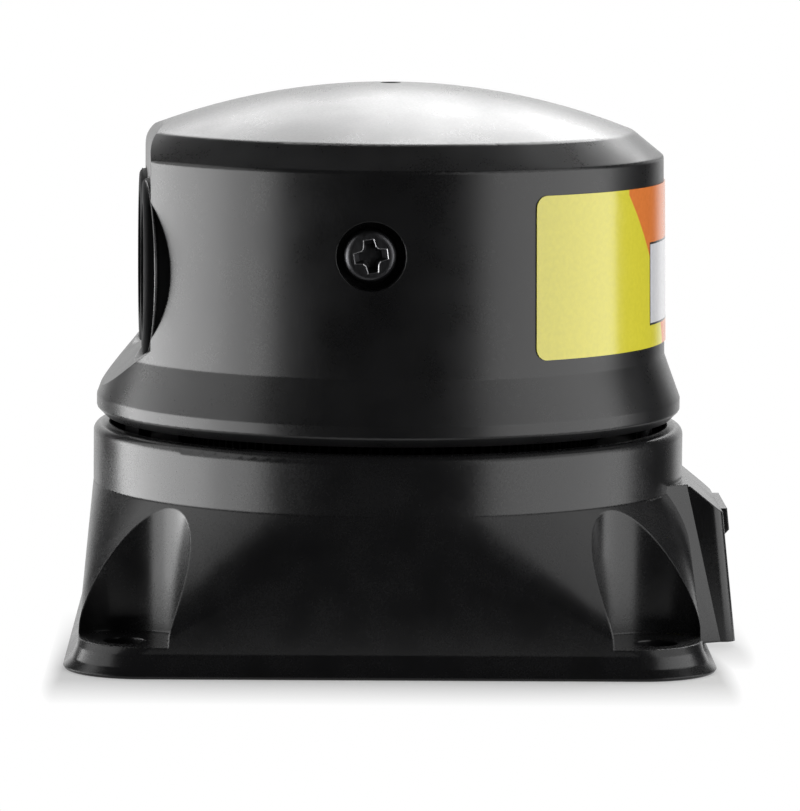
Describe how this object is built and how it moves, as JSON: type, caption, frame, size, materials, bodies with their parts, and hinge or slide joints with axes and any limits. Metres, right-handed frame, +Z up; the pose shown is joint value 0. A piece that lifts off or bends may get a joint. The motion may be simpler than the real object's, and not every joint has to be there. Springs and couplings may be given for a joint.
{
  "type": "lidar sensor",
  "caption": "Small scanning lidar sensor: a domed round head with side-by-side lens barrels sweeps on a square flared foot with screw pockets and a rear socket block.",
  "frame": {"origin": "centre of the foot's underside, on the sweep axis", "axes": "+Z up along the sweep axis, lenses look along -Y at rest, sockets face +Y, +X to the right of the lenses as they look out of the page"},
  "size_m": [0.0494, 0.0517, 0.0432],
  "materials": {
    "black_shell": "satin black",
    "black_barrel": "matt black",
    "black_gear": "matt black",
    "dark_screw": "black oxide",
    "plain_steel": "bright",
    "cage_brass": "plain",
    "board_green": "solder mask",
    "socket_shell": "plated",
    "socket_plastic": "moulded",
    "magnet_grey": "sintered",
    "chip_black": "moulded",
    "lead_black": "insulated",
    "lens_glass": "coated",
    "ring_black": "anodised black",
    "label_film": "printed film"
  },
  "bodies": {
    "base": {"base_housing": "black_shell", "base_plate": "black_shell", "base_screws": "plain_steel", "main_board": "board_green", "port_board": "board_green", "data_socket": "socket_shell", "power_socket": "socket_plastic", "power_pins": "cage_brass", "motor": "plain_steel", "motor_screws": "plain_steel", "bearing_outer_race": "plain_steel", "stop_pin": "plain_steel", "encoder_sensor": "chip_black", "base_plug": "socket_plastic", "wire_harness": "lead_black"},
    "pinion": {"motor_shaft": "plain_steel", "drive_pinion": "cage_brass"},
    "cage": {"bearing_balls": "plain_steel", "bearing_cage": "cage_brass"},
    "head": {"head_shell": "black_shell", "shell_screws": "dark_screw", "head_label": "label_film", "turntable": "black_shell", "ring_gear": "black_gear", "bearing_inner_race": "plain_steel", "retaining_clip": "plain_steel", "encoder_magnet": "magnet_grey", "head_board": "board_green", "head_plug": "socket_plastic", "optic_block": "black_barrel", "transmit_lens": "lens_glass", "receive_lens": "lens_glass", "transmit_lens_ring": "ring_black", "receive_lens_ring": "ring_black", "laser_board": "board_green", "detector_board": "board_green", "board_screws": "plain_steel", "laser_diode": "plain_steel", "photo_detector": "plain_steel", "optic_screws": "plain_steel"}
  },
  "joints": [
    {"name": "head_sweep", "type": "hinge", "parent": "base", "child": "head", "pos_m": [0, 0, 0], "axis": [0, 0, 1], "range_deg": [-162.77, 157.23]},
    {"name": "pinion_spin", "type": "hinge", "parent": "base", "child": "pinion", "pos_m": [-0.01775, 0, 0], "axis": [0, 0, 1], "range_deg": [-1710, 1770]},
    {"name": "cage_roll", "type": "hinge", "parent": "base", "child": "cage", "pos_m": [0, 0, 0], "axis": [0, 0, 1], "range_deg": [-70, 70]}
  ],
  "couplings": [
    {"joint": "pinion_spin", "follows": "head_sweep", "ratio": -10.833},
    {"joint": "cage_roll", "follows": "head_sweep", "ratio": 0.4279}
  ]
}
